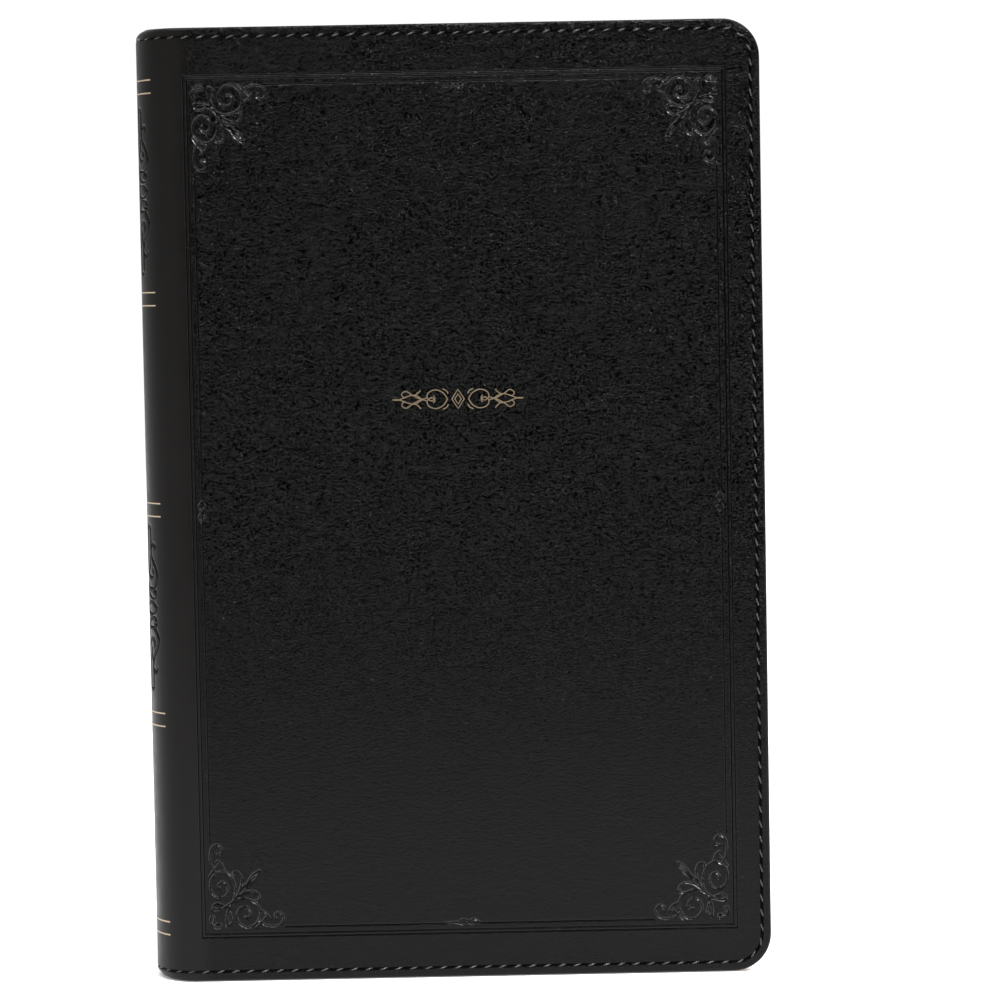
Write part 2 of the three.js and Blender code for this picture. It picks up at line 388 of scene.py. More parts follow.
# The first two colours are painted shade in the grain's valleys and pressed lines, and painted light on the
# grain's ridges.
leather = {
    "paintedShade": (0.0003, 0.0003, 0.0003),
    "hill": (0.0048, 0.0047, 0.0046),
    "plain": (0.0042, 0.0039, 0.0037),  # of the smooth spine, and of the cover at the hinge line
    "plainWorn": (0.0054, 0.0050, 0.0047),
    "grain": 1.8,  # ridges wander at about this many per millimetre
    "ridge": 0.07,
    "pores": 1.3,
    "creases": 0.1,
    "grainDepth": 0.10 * mm,
    "roughness": (0.13, 0.20),
    "plainRoughness": (0.30, 0.38),
    "gloss": 0.09,
    "fade": 4.5,
    "smoothBelow": 30,  # heights between which the grain comes in, and its share at the tail
    "grainedAbove": 135,
    "tailShare": 0.15,
    "ridgeShine": 1.8,
    "pressedShine": 5,
    "pressedDark": 0.1,
    "pressedGrain": 0.2,  # share of the grain left where the leather is pressed
    "spineBump": 0.12,
}


def leatherFinish(name, values, grained):
    finish, tree, shader, place = newFinish(name)
    wobble = addNoise(tree, place, 0.7, 2, output="Color")
    drifted = addDrift(tree, place, wobble, 1.1)
    hills = addNoise(tree, drifted, values["grain"], 1, 0.4)
    pores = addRange(tree, addCells(tree, drifted, values["pores"]), 0, 0.22, 0, 1)
    height = addMath(tree, "MULTIPLY_ADD", pores, 0.16, hills)
    tone = addNoise(tree, place, 0.05, 4)
    patchy = addNoise(tree, place, 0.3, 4)
    matt = addRange(tree, patchy, 0.3, 0.7, *values["plainRoughness"])
    colour = addMix(tree, tone, values["plain"], values["plainWorn"])
    pressed = addAttribute(tree, "pressedShare").outputs["Fac"]
    glint = addAttribute(tree, "glint").outputs["Fac"]
    rise = addRange(tree, pressed, 0.02, 0.2, 0, values["pressedShine"])
    walls = addMath(tree, "MULTIPLY_ADD", rise, glint, 1)
    # The floors of the pressed lines reflect less, as painted shade.
    bottom = addRange(tree, pressed, 0.3, 0.8, 1, values["pressedDark"])
    sheen = multiply(tree, walls, bottom)
    if grained:
        parts = splitPlace(tree, place)
        fade = addRange(tree, parts["X"], hingeX / mm - 0.5, hingeX / mm + values["fade"], 0, 1)
        heights = (values["smoothBelow"], values["grainedAbove"])
        fine = addRange(tree, parts["Z"], *heights, values["tailShare"], 1)
        clear = addRange(tree, pressed, 0, 0.25, 1, values["pressedGrain"])
        fine = multiply(tree, fine, clear)  # pressing flattens the grain
        offMiddle = addMath(tree, "SUBTRACT", hills, 0.5)
        offMiddle = addMath(tree, "ABSOLUTE", offMiddle)
        ridge = addRange(tree, offMiddle, 0, values["ridge"], 1, 0)
        sway = addNoise(tree, place, 0.07, 3, 0.55, "Color")
        swayed = addDrift(tree, place, sway, 26)
        crease = addRange(tree, addCells(tree, swayed, values["creases"]), 0, 0.03, -1, 0)
        patches = addNoise(tree, place, 0.03, 3)
        patches = addRange(tree, patches, 0.45, 0.6, 0, 1)
        height = addMath(tree, "MULTIPLY_ADD", ridge, 0.35, height)
        creased = multiply(tree, crease, patches)
        height = addMath(tree, "MULTIPLY_ADD", creased, 0.2, height)
        deep = addRange(tree, fine, 0, 1, 0.5, 1, "LINEAR")
        depth = multiply(tree, addMath(tree, "MAXIMUM", fade, 0.12), deep)
        height = multiply(tree, height, depth)
        # Painted light and shade on the grain: the ridges are coloured lighter and the valleys darker, less
        # so towards the tail.
        centred = addMath(tree, "SUBTRACT", ridge, 0.45)
        lit = addMath(tree, "MULTIPLY_ADD", centred, fine, 0.45)
        grainLightAndShade = addMix(tree, lit, values["paintedShade"], values["hill"])
        colour = addMix(tree, fade, colour, grainLightAndShade)
        swing = multiply(tree, multiply(tree, fine, fade), values["ridgeShine"])
        shine = addMath(tree, "MULTIPLY_ADD", centred, swing, 1)
        sheen = multiply(tree, sheen, shine)
        glossy = addRange(tree, patchy, 0.3, 0.7, *values["roughness"])
        toGlossy = multiply(tree, addMath(tree, "SUBTRACT", glossy, matt), fade)
        matt = addMath(tree, "ADD", matt, toGlossy)
    addBump(tree, shader, height, values["grainDepth"] * (1 if grained else values["spineBump"]))
    # Painted shade: the pressed lines are coloured as dark as the grain's valleys.
    tree.links.new(addMix(tree, pressed, colour, values["paintedShade"]), shader.inputs["Base Color"])
    tree.links.new(matt, shader.inputs["Roughness"])
    tree.links.new(multiply(tree, sheen, values["gloss"]), shader.inputs["Specular IOR Level"])
    return finish


thread = {"colour": (0.006, 0.006, 0.006), "twist": 1.6, "roughness": 0.26, "sheen": 0.05}


def threadFinish(name, values):
    finish, tree, shader, spot = newFinish(name)
    wave = tree.nodes.new("ShaderNodeTexWave")
    wave.wave_type = "BANDS"
    wave.bands_direction = "DIAGONAL"
    wave.inputs["Scale"].default_value = values["twist"]
    wave.inputs["Distortion"].default_value = 0.6
    tree.links.new(spot, wave.inputs["Vector"])
    fibre = addNoise(tree, spot, 14, 2)
    height = addMath(tree, "MULTIPLY_ADD", fibre, 0.3, wave.outputs["Fac"])
    addBump(tree, shader, height, 0.04 * mm)
    lighter = tuple(c * 1.8 + 0.002 for c in values["colour"])
    tree.links.new(addMix(tree, wave.outputs["Fac"], values["colour"], lighter), shader.inputs["Base Color"])
    shader.inputs["Roughness"].default_value = values["roughness"]
    shader.inputs["Sheen Weight"].default_value = values["sheen"]
    return finish


foilColours = {"rules": (0.36, 0.285, 0.20), "ornament": (0.10, 0.074, 0.045)}


def foilFinish(name, colour):
    finish, tree, shader, spot = newFinish(name)
    speckle = addNoise(tree, spot, 5, 4, 0.7)
    paler = tuple(min(c * 1.25, 1) for c in colour)
    tree.links.new(addMix(tree, speckle, colour, paler), shader.inputs["Base Color"])
    matt = addRange(tree, speckle, 0.3, 0.7, 0.45, 0.65)
    tree.links.new(matt, shader.inputs["Roughness"])
    addBump(tree, shader, speckle, 0.08 * mm)
    shader.inputs["Metallic"].default_value = 0.55
    return finish


def clothFinish(name, dark, light, threads):
    finish, tree, shader, spot = newFinish(name, "Object")
    waves = []
    for direction in ("X", "Z"):
        wave = tree.nodes.new("ShaderNodeTexWave")
        wave.bands_direction = direction
        wave.inputs["Scale"].default_value = threads
        wave.inputs["Distortion"].default_value = 0.4
        tree.links.new(spot, wave.inputs["Vector"])
        waves.append(wave.outputs["Fac"])
    total = addMath(tree, "MAXIMUM", *waves)
    tree.links.new(addMix(tree, total, dark, light), shader.inputs["Base Color"])
    addBump(tree, shader, total, 0.08 * mm)
    shader.inputs["Roughness"].default_value = 0.9
    shader.inputs["Sheen Weight"].default_value = 0.2
    return finish


def cardFinish(name, dark, light):
    finish, tree, shader, spot = newFinish(name, "Object")
    fibres = addNoise(tree, addStretch(tree, spot, (1.2, 1.2, 0.4)), 2.2, 6, 0.7)
    specks = addNoise(tree, spot, 0.5, 4)
    tone = addMath(tree, "MULTIPLY_ADD", fibres, 0.6, specks)
    tree.links.new(addMix(tree, addRange(tree, tone, 0.45, 1.05, 0, 1), dark, light),
              shader.inputs["Base Color"])
    addBump(tree, shader, fibres, 0.06 * mm)
    shader.inputs["Roughness"].default_value = 0.85
    return finish


liningColours = {"dark": (0.010, 0.010, 0.011), "light": (0.022, 0.022, 0.023)}


def liningFinish(name, values):
    finish, tree, shader, spot = newFinish(name)
    fibres = addNoise(tree, spot, 1.4, 6, 0.75)
    moire = addNoise(tree, addStretch(tree, spot, (0.05, 0.05, 0.3)), 1.2, 3)
    tree.links.new(addMix(tree, moire, values["dark"], values["light"]),
              shader.inputs["Base Color"])
    height = addMath(tree, "MULTIPLY_ADD", moire, 0.5, fibres)
    addBump(tree, shader, height, 0.05 * mm)
    tree.links.new(addRange(tree, fibres, 0.3, 0.7, 0.45, 0.62), shader.inputs["Roughness"])
    return finish


paper = {
    "sheet": (0.62, 0.585, 0.505),
    "toned": (0.56, 0.515, 0.425),
    "grey": (0.36, 0.34, 0.30),  # of the faint rows
    "rowPitch": 2.9,
    "columnWidth": 58,
    "columnGap": 5,
    "middle": (3.5, 118),  # across and up
    "halfHeight": 101,
    "dashes": 0.62,  # per millimetre
    "rowShift": 7.31,  # so that no two rows are alike
    "blank": 0.43,
    "faint": 0.55,
}


def pageFinish(name, values, rows):
    finish, tree, shader, spot = newFinish(name)
    fibres = addNoise(tree, spot, 1.6, 5, 0.7)
    cloudy = addNoise(tree, spot, 0.03, 3)
    tone = addMath(tree, "MULTIPLY_ADD", fibres, 0.35, cloudy)
    tone = addRange(tree, tone, 0.5, 0.9, 0, 1)
    colour = addMix(tree, tone, values["sheet"], values["toned"])
    if rows:
        parts = splitPlace(tree, spot)
        level = addMath(tree, "DIVIDE", parts["Z"], values["rowPitch"])
        stripe = addMath(tree, "FRACT", level)
        rowMask = addMath(tree, "COMPARE", stripe, 0.5, 0.2)
        line = addMath(tree, "FLOOR", level)
        where = tree.nodes.new("ShaderNodeCombineXYZ")
        tree.links.new(multiply(tree, parts["X"], values["dashes"]), where.inputs["X"])
        tree.links.new(multiply(tree, line, values["rowShift"]), where.inputs["Y"])
        dashes = addNoise(tree, where.outputs[0], 1.0, 1)
        dashMask = addMath(tree, "GREATER_THAN", dashes, values["blank"])
        middle = addMath(tree, "SUBTRACT", parts["X"], values["middle"][0])
        aside = addMath(tree, "ABSOLUTE", middle)
        half = values["columnWidth"] / 2
        columnMask = addMath(tree, "COMPARE", aside, half + values["columnGap"] / 2, half)
        heightMask = addMath(tree, "COMPARE", parts["Z"], values["middle"][1], values["halfHeight"])
        mask = multiply(tree, rowMask, dashMask)
        mask = multiply(tree, mask, columnMask)
        mask = multiply(tree, mask, heightMask)
        faint = multiply(tree, mask, values["faint"])
        colour = addMix(tree, faint, colour, values["grey"])
    tree.links.new(colour, shader.inputs["Base Color"])
    addBump(tree, shader, fibres, 0.02 * mm)
    shader.inputs["Roughness"].default_value = 0.75
    return finish


gilt = {"base": (0.50, 0.34, 0.14), "pale": (0.60, 0.45, 0.23), "leaves": 9.0}


def giltFinish(name, values):
    finish, tree, shader, spot = newFinish(name)
    stretched = addStretch(tree, spot, (0.02, values["leaves"], 0.02))
    lines = addNoise(tree, stretched, 1.0, 4, 0.7)
    patches = addNoise(tree, spot, 0.15, 4)
    tone = addMath(tree, "MULTIPLY_ADD", patches, 0.5, lines)
    tone = addRange(tree, tone, 0.5, 1.0, 0, 1)
    tree.links.new(addMix(tree, tone, values["base"], values["pale"]), shader.inputs["Base Color"])
    addBump(tree, shader, lines, 0.08 * mm)
    tree.links.new(addRange(tree, lines, 0.3, 0.7, 0.26, 0.48), shader.inputs["Roughness"])
    shader.inputs["Metallic"].default_value = 0.9
    return finish


bandColours = {"dark": (0.020, 0.019, 0.018), "light": (0.55, 0.47, 0.30), "stripe": 1.1}


def bandFinish(name, values):
    finish, tree, shader, spot = newFinish(name, "Object")
    pairs = addMath(tree, "DIVIDE", splitPlace(tree, spot)["Y"], 2 * values["stripe"])
    stripe = addMath(tree, "FRACT", pairs)
    mask = addMath(tree, "GREATER_THAN", stripe, 0.5)
    tree.links.new(addMix(tree, mask, values["dark"], values["light"]), shader.inputs["Base Color"])
    fibre = addNoise(tree, addStretch(tree, spot, (1, 9, 1)), 1.4, 3)
    addBump(tree, shader, fibre, 0.08 * mm)
    shader.inputs["Roughness"].default_value = 0.6
    shader.inputs["Sheen Weight"].default_value = 0.3
    return finish


coverLeather = leatherFinish("grainedLeather", leather, True)
spineLeather = leatherFinish("smoothLeather", leather, False)
blackThread = threadFinish("blackThread", thread)
goldFoil = foilFinish("goldFoil", foilColours["rules"])
dullFoil = foilFinish("dullFoil", foilColours["ornament"])
mullCloth = clothFinish("mullCloth", (0.42, 0.40, 0.35), (0.75, 0.72, 0.65), 1.1)
greyBoard = cardFinish("greyBoard", (0.30, 0.27, 0.22), (0.48, 0.44, 0.36))
brownCard = cardFinish("brownCard", (0.22, 0.17, 0.11), (0.36, 0.29, 0.19))
blackLining = liningFinish("blackLining", liningColours)
endPaper = pageFinish("endPaper", paper, False)
biblePaper = pageFinish("biblePaper", paper, True)
giltEdge = giltFinish("giltEdge", gilt)
woundBand = bandFinish("woundBand", bandColours)


print("stage: cover leather")
case = {
    "cornerRound": 9.3 * mm,
    "rimRound": 0.9 * mm,
    "leather": 0.75 * mm,
    "turnIn": 8 * mm,
    "allowance": 25 * mm,
    # width and depth of each step of the stitching channel, from the rounded rim inwards
    "channel": [(1.05, 0.06), (0.15, -0.26), (0.25, -0.2), (0.25, 0.2), (0.15, 0.2), (0.6, 0)],
}
border = {
    "left": -64.6, "right": 68.5, "low": 11.06, "high": 224.15,
    "second": 0.85,  # the pair's second line, inwards from the first
    "inner": 2.4,
    "depth": 0.15 * mm, "core": 0.03 * mm, "reach": 0.26 * mm, "glint": 0.15,
}
ornament = {
    "inset": 0.85 + 0.35,  # from the border
    "stretch": 1.15,
    "depth": 0.24 * mm, "core": 0.04 * mm, "reach": 0.32 * mm, "glint": 1,
}
# Stretches of the grid that the lines are pressed into: from, to and step.
plateZones = {
    "x": [(-65.1, -61.9, 0.16), (-61.9, -43.4, 0.23), (-43.4, -0.9, 4), (-0.9, 5.3, 0.3),
          (5.3, 47.3, 4), (47.3, 65.8, 0.23), (65.8, 69, 0.16)],
    "z": [(10.6, 13.8, 0.16), (13.8, 37.2, 0.24), (37.2, 113.9, 5), (113.9, 120.1, 0.3),
          (120.1, 197.8, 5), (197.8, 221.4, 0.24), (221.4, 224.6, 0.16)],
}
plainZones = {
    "x": [(-65.1, -63.2, 0.16), (-63.2, 67.1, 6), (67.1, 69, 0.16)],
    "z": [(10.6, 12.5, 0.16), (12.5, 222.7, 6), (222.7, 224.6, 0.16)],
}


def coverSkin(name, side, zones):
    outer = side * halfThickness
    inner = side * (halfThickness - coverThickness)
    startX = hingeX - case["allowance"]
    skin = addBlock(name, (startX, min(outer, inner), 0), (foreEdgeX, max(outer, inner), bookHeight))
    startEdit(skin)
    pick(skin, "EDGE", lambda e: runsAlong(e, 1) and near(middleOf(e).x, foreEdgeX))
    bpy.ops.mesh.bevel(offset=case["cornerRound"], segments=14, affect="EDGES")
    pick(skin, "EDGE", lambda e: near(e.verts[0].co.y, e.verts[1].co.y)
         and not (near(e.verts[0].co.x, startX) and near(e.verts[1].co.x, startX)))
    bpy.ops.mesh.bevel(offset=case["rimRound"], segments=4, affect="EDGES")
    pick(skin, "FACE", lambda f: f.normal.y * side > 0.999 and near(centreOf(f).y, outer))
    for width, depth in case["channel"]:
        bpy.ops.mesh.inset(thickness=width * mm, depth=depth * mm)
    pick(skin, "FACE", lambda f: f.normal.y * side < -0.999 and near(centreOf(f).y, inner))
    bpy.ops.mesh.inset(thickness=case["turnIn"] - case["rimRound"])
    bpy.ops.mesh.delete(type="FACE")
    selectWhole()
    cutAt(0, hingeX, clear_inner=True)
    finishEdit()
    applyModifier(skin, "SOLIDIFY", thickness=case["leather"], offset=-1, use_even_offset=True)
    startEdit(skin)
    for step in range(1, 11):  # rows to bend on
        selectWhole()
        cutAt(0, hingeX + step * bendLength / 10)
    margin = sum(width for width, depth in case["channel"]) * mm + case["rimRound"]
    plateX = (hingeX, zones["x"][-1][1] * mm)
    plateZ = (zones["z"][0][0] * mm, zones["z"][-1][1] * mm)

    def onPlate(spot):
        return near(spot.y, outer) and spot.x < foreEdgeX - margin and margin < spot.z < bookHeight - margin

    def inGrid(spot):
        return (near(spot.y, outer) and plateX[0] - tiny <= spot.x <= plateX[1] + tiny
                and plateZ[0] - tiny <= spot.z <= plateZ[1] + tiny)

    for axis, spans in ((0, zones["x"]), (2, zones["z"])):
        for place in [spans[0][0]] + [high for low, high, step in spans]:
            pick(skin, "FACE", lambda f: onPlate(centreOf(f)) and f.normal.y * side > 0.9)
            cutAt(axis, place * mm)
    for axis, spans in ((0, zones["x"]), (2, zones["z"])):
        refineGrid(skin, inGrid, axis, [(low * mm, high * mm, step * mm) for low, high, step in spans])
    pick(skin, "VERT", lambda v: inGrid(v.co))
    skin.vertex_groups.new(name="pressed")
    bpy.ops.object.vertex_group_assign()
    finishEdit()
    return skin


# Guide lines on a cover lie in the plane of its outer face.
def coverPoint(x, z, side):
    return Vector((x * mm, side * halfThickness, z * mm))


def borderGuide(side, inset, gaps):
    left, right = border["left"] + inset, border["right"] - inset
    low, high = border["low"] + inset, border["high"] - inset
    if not gaps:
        corners = [(left, high), (right, high), (right, low), (left, low), (left, high)]
        return [drawLine([coverPoint(x, z, side) for x, z in corners])]
    lines = []
    for z in (low, high):
        lines.append(drawLine([coverPoint(x, z, side) for x in (left + gaps[0], right - gaps[0])]))
    for x in (left, right):
        lines.append(drawLine([coverPoint(x, z, side) for z in (low + gaps[1], high - gaps[1])]))
    return lines


# Half of a corner flourish: distances from the corner, across and down.
flourish = [
    [(1.3, 5.0), (3.6, 5.0), (6.2, 6.4), (9.2, 7.3), (12.3, 6.2), (13.3, 3.7), (11.6, 1.3),
     (9.0, 1.2), (7.5, 3.0), (8.1, 5.0), (9.9, 5.4), (11.0, 4.2), (10.4, 3.1), (9.6, 3.3)],
    [(13.0, 2.4), (14.4, 1.5), (16.4, 1.1), (18.4, 1.6), (19.1, 3.0), (18.2, 4.1), (17.0, 3.8), (17.1, 2.9)],
    [(13.4, 4.6), (14.9, 3.9), (15.6, 2.9)],
    [(12.3, 0.9), (13.6, 2.0), (15.2, 3.6)],
    [(7.2, 7.2), (9.0, 8.3), (11.4, 8.9), (13.0, 8.1), (13.0, 6.9), (12.1, 6.8)],
    [(7.6, 7.6), (9.6, 8.9), (11.4, 11.4), (12.2, 12.2)],
    [(8.9, 9.7), (10.8, 10.4), (12.4, 11.6), (13.4, 13.4)],
    [(5.6, 5.6), (5.0, 3.4), (5.4, 1.5), (6.3, 2.4), (5.8, 4.3)],
    [(2.2, 1.7), (3.2, 1.9), (3.5, 1.2), (2.6, 0.9), (1.9, 1.4)],
]


def cornerGuides(side):
    strokes = []
    middleX = (border["left"] + border["right"]) / 2
    middleZ = (border["low"] + border["high"]) / 2
    halfX = (border["right"] - border["left"]) / 2 - ornament["inset"]
    halfZ = (border["high"] - border["low"]) / 2 - ornament["inset"]
    for stroke in flourish:
        for swap in (False, True):
            line = smoothLine([(b, a, 0) if swap else (a, b, 0) for a, b in stroke], 5)
            strokes.append(drawLine([
                coverPoint(middleX - halfX + p.x, middleZ + halfZ - p.y * ornament["stretch"], side)
                for p in line
            ]))
    quarter = joinAll(strokes, "flourishGuide")
    quarters = [quarter]
    centre = (middleX * mm, 0, middleZ * mm)
    for flip in ((-1, 1, 1), (1, 1, -1), (-1, 1, -1)):
        other = copyOf(quarter)
        startEdit(other)
        selectWhole()
        bpy.ops.transform.resize(value=flip, center_override=centre)
        finishEdit()
        quarters.append(other)
    return quarters


# Small motifs half way along each side of the border.
def sideMotifs(side):
    strokes = []
    spots = [(2.2, border["high"] - 3.1, 1, 0), (1.7, border["low"] + 2.6, 1, 0),
             (border["left"] + 2.3, 117.0, 0, 1), (border["right"] - 2.8, 116.9, 0, 1)]
    for x, z, alongX, alongZ in spots:
        for lean in (1, -1):
            curl = smoothLine([(-2.6, 0.0, 0), (-1.3, 0.75 * lean, 0), (0, 0.2 * lean, 0),
                               (1.3, 0.75 * lean, 0), (2.6, 0.0, 0)], 4)
            strokes.append(drawLine([
                coverPoint(x + p.x * alongX + p.y * alongZ, z + p.x * alongZ + p.y * alongX, side)
                for p in curl
            ]))
    return strokes


def finishCover(skin):
    for layer in list(skin.vertex_groups):
        skin.vertex_groups.remove(layer)
    skin.data.materials.clear()
    skin.data.materials.append(coverLeather)
    smoothShade(skin, 40)
    keepRestPlace(skin)
    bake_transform(skin)


frontSkin = coverSkin("frontCoverLeather", -1, plateZones)
lineGuides = borderGuide(-1, 0, None) + borderGuide(-1, border["second"], None)
lineGuides += borderGuide(-1, border["inner"], (18.3, 21.5))
pressLines(frontSkin, joinAll(lineGuides, "borderGuide"), border)
pressLines(frontSkin, joinAll(cornerGuides(-1) + sideMotifs(-1), "ornamentGuide"), ornament)
finishCover(frontSkin)
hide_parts("front_leather")
print("front cover faces", len(frontSkin.data.polygons))

backSkin = coverSkin("backCoverLeather", 1, plainZones)
lineGuides = borderGuide(1, 0, None) + borderGuide(1, border["second"], None)
pressLines(backSkin, joinAll(lineGuides, "borderGuide"), border)
finishCover(backSkin)
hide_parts("back_leather")


print("stage: spine leather")
spine = {
    "around": 336,  # faces round a whole turn
    "headcap": 2.6 * mm,
    "rows": [0.06, 0.18, 0.36, 0.6, 0.9, 1.25, 1.6, 1.95, 2.1, 2.35, 2.6, 2.75, 3.4],
    # how far some of those rows are sunk by the stitching, or raised
    "sunk": {1.25: -0.02, 1.6: -0.04, 1.95: -0.06, 2.1: 0.2, 2.35: 0.4, 2.6: 0.2},
    "panels": [(71.5, 114.5), (174.8, 217.8)],
    "panelStep": 0.26,
    "depth": 0.5 * mm, "core": 0.12 * mm, "reach": 0.42 * mm, "glint": 0.3,
}


def drawIn(radius, height):
    rest = max(radius - height, 0)
    return radius - math.sqrt(radius * radius - rest * rest)


def sizeRow(height, depth):
    # the row's own size, from its height above the near end and its depth in the leather
    return (spineReach - drawIn(spine["headcap"], height) - depth,
            halfThickness - drawIn(case["rimRound"], height) - depth)


def resizeRow(z, before, after):
    scale = (after[0] / before[0], after[1] / before[1], 1)
    bpy.ops.transform.resize(value=scale, center_override=(hingeX, 0, z))


deselectAll()
bpy.ops.mesh.primitive_cylinder_add(
    vertices=spine["around"], radius=1, depth=bookHeight, end_fill_type="NOTHING",
    location=(hingeX, 0, bookHeight / 2), scale=(spineReach, halfThickness, 1))
spineSkin = bpy.context.object
spineSkin.name = "spineLeather"
applyPlace()
startEdit(spineSkin)
selectWhole()
cutAt(0, hingeX, clear_outer=True)
rowPlaces = []
for height in spine["rows"]:
    rowPlaces += [height * mm, bookHeight - height * mm]
for low, high in spine["panels"]:
    rowPlaces += [low * mm, high * mm]
for place in rowPlaces:
    selectWhole()
    cutAt(2, place)
for height in [0] + spine["rows"]:
    depth = spine["sunk"].get(height, 0) * mm
    for z in (height * mm, bookHeight - height * mm):
        pick(spineSkin, "VERT", lambda v: near(v.co.z, z))
        resizeRow(z, (spineReach, halfThickness), sizeRow(height * mm, depth))
for end, up in ((0, 1), (bookHeight, -1)):
    pick(spineSkin, "EDGE", lambda e: near(e.verts[0].co.z, end) and near(e.verts[1].co.z, end))
    before, place = sizeRow(0, 0), end
    for height in (0, 0.5, 1.3, 2.6, 8):  # turned in
        after = sizeRow(height * mm, 2 * case["leather"])
        target = end + up * height * mm
        bpy.ops.mesh.extrude_region_move(TRANSFORM_OT_translate={"value": (0, 0, target - place)})
        resizeRow(target, before, after)
        before, place = after, target
finishEdit()
applyModifier(spineSkin, "SOLIDIFY", thickness=case["leather"], offset=-1, use_even_offset=False)
startEdit(spineSkin)


def onSpine(spot):
    return ((spot.x - hingeX) / spineReach) ** 2 + (spot.y / halfThickness) ** 2 > 0.975


def inPanel(spot):
    return onSpine(spot) and any(low * mm < spot.z < high * mm for low, high in spine["panels"])


panelZones = [(low * mm, high * mm, spine["panelStep"] * mm) for low, high in spine["panels"]]
refineGrid(spineSkin, inPanel, 2, panelZones)
pick(spineSkin, "VERT", lambda v: inPanel(v.co))
spineSkin.vertex_groups.new(name="pressed")
bpy.ops.object.vertex_group_assign()
finishEdit()


spineRound = (spineReach + halfThickness) / 2


# A place on the spine: distance round from its outermost line, towards the front, and height.
def spinePoint(around, z):
    angle = around * mm / spineRound
    return Vector((hingeX - spineReach * math.cos(angle), -halfThickness * math.sin(angle), z * mm))


# A quarter of a spine arabesque: distance round, and height from the panel's middle.
arabesque = [
    [(4.0, 19.8), (4.0, 17.0), (3.9, 14.2), (3.3, 11.6), (3.9, 9.2), (5.6, 7.6), (7.2, 8.2), (7.0, 9.6)],
    [(6.1, 19.8), (6.1, 17.0), (6.1, 14.2), (7.0, 12.0), (8.6, 10.0), (9.2, 7.8), (8.4, 6.0),
     (6.6, 4.8), (4.8, 4.9)],
    [(4.0, 19.8), (5.05, 20.4), (6.1, 19.8)],
    [(6.2, 13.4), (5.2, 11.6), (5.4, 10.0)],
    [(6.4, 15.4), (7.6, 16.0), (8.4, 15.2)],
    [(2.2, 6.6), (3.4, 5.6), (4.6, 3.2), (6.6, 2.2), (8.2, 2.9), (8.3, 4.2), (7.3, 4.2)],
    [(4.4, 1.5), (5.8, 1.6), (7.6, 0.9), (8.6, 0.0)],
    [(4.4, 1.5), (3.7, 0.8), (3.5, 0.0)],
    [(0.0, 18.6), (0.9, 15.6), (2.1, 12.8), (2.2, 10.2), (1.2, 8.0), (0.0, 7.0)],
    [(0.0, 15.0), (0.8, 12.6), (0.9, 10.8), (0.0, 9.4)],
    [(0.0, 7.0), (1.6, 5.4), (2.3, 3.2), (2.0, 1.2), (1.9, 0.0)],
    [(0.0, 3.4), (0.8, 2.0), (0.9, 0.8), (0.9, 0.0)],
]
fourFlips = ((1, 1), (-1, 1), (1, -1), (-1, -1))
panelGuides = []
for low, high in spine["panels"]:
    middle = (low + high) / 2
    for stroke in arabesque:
        line = smoothLine([(a, b, 0) for a, b in stroke], 5)
        for flipA, flipB in fourFlips:
            panelGuides.append(drawLine([spinePoint(flipA * p.x, middle + flipB * p.y) for p in line]))
pressLines(spineSkin, joinAll(panelGuides, "arabesqueGuide"), spine)
spineSkin.vertex_groups.clear()
spineSkin.data.materials.append(spineLeather)
smoothShade(spineSkin, 50)
keepRestPlace(spineSkin)
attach(spineSkin, "spine_block")
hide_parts("spine_leather")
print("spine faces", len(spineSkin.data.polygons))


print("stage: gold")
rules = {
    "heights": [223.56, 171.32, 119.08, 66.84, 14.6], "gap": 3.23, "width": 0.32,
    "halfTurn": 51.4, "proud": 0.02 * mm, "foil": 0.05 * mm,
}
bands = []


# Degrees round the spine from its outermost line, towards the front.
def turnOf(spot):
    return math.degrees(math.atan2(-spot.y / halfThickness, (hingeX - spot.x) / spineReach))


for top in rules["heights"]:
    for z in (top, top - rules["gap"]):
        deselectAll()
        bpy.ops.mesh.primitive_cylinder_add(
            vertices=spine["around"], radius=1, depth=rules["width"] * mm, end_fill_type="NOTHING",
            location=(hingeX, 0, z * mm),
            scale=(spineReach + rules["proud"], halfThickness + rules["proud"], 1))
        band = bpy.context.object
        applyPlace()
        startEdit(band)
        pick(band, "FACE", lambda f: abs(turnOf(centreOf(f))) > rules["halfTurn"])
        bpy.ops.mesh.delete(type="FACE")
        finishEdit()
        bands.append(band)
goldRules = joinAll(bands, "spineGoldRules")
applyModifier(goldRules, "SOLIDIFY", thickness=rules["foil"], offset=0)
goldRules.data.materials.append(goldFoil)
smoothShade(goldRules)
keepRestPlace(goldRules)
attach(goldRules, "spine_block")

plaque = {
    "x": 1.45, "z": 143.8, "line": 0.15, "flatten": 0.16, "lozenges": (1.9, 1.0),
    "strokes": [
        [(2.6, 0.0), (3.6, 1.5), (5.4, 2.3), (7.2, 1.7), (7.6, 0.4), (6.6, -0.4), (5.7, 0.2), (6.1, 0.9)],
        [(7.6, 0.4), (9.2, 0.1), (11.4, 1.2), (12.8, 2.1), (13.9, 1.4), (13.3, 0.5), (12.6, 0.8)],
        [(8.6, 0.2), (10.4, -1.0), (12.2, -0.9), (14.6, 0.0), (16.2, 0.0)],
        [(9.2, 2.3), (9.9, 1.5), (10.9, 1.0)],
        [(2.4, 1.3), (2.9, 2.1), (3.8, 2.5)],
    ],
}


def foilLine(line, closed=False):
    stroke = drawLine(line)
    if closed:
        startEdit(stroke)
        selectWhole()
        bpy.ops.mesh.remove_doubles(threshold=0.02 * mm)
        finishEdit()
    selectOnly(stroke)
    bpy.ops.object.convert(target="CURVE")
    stroke = bpy.context.object
    stroke.data.bevel_depth = plaque["line"] * mm
    stroke.data.bevel_resolution = 1
    stroke.data.use_fill_caps = True
    bpy.ops.object.convert(target="MESH")
    return bpy.context.object


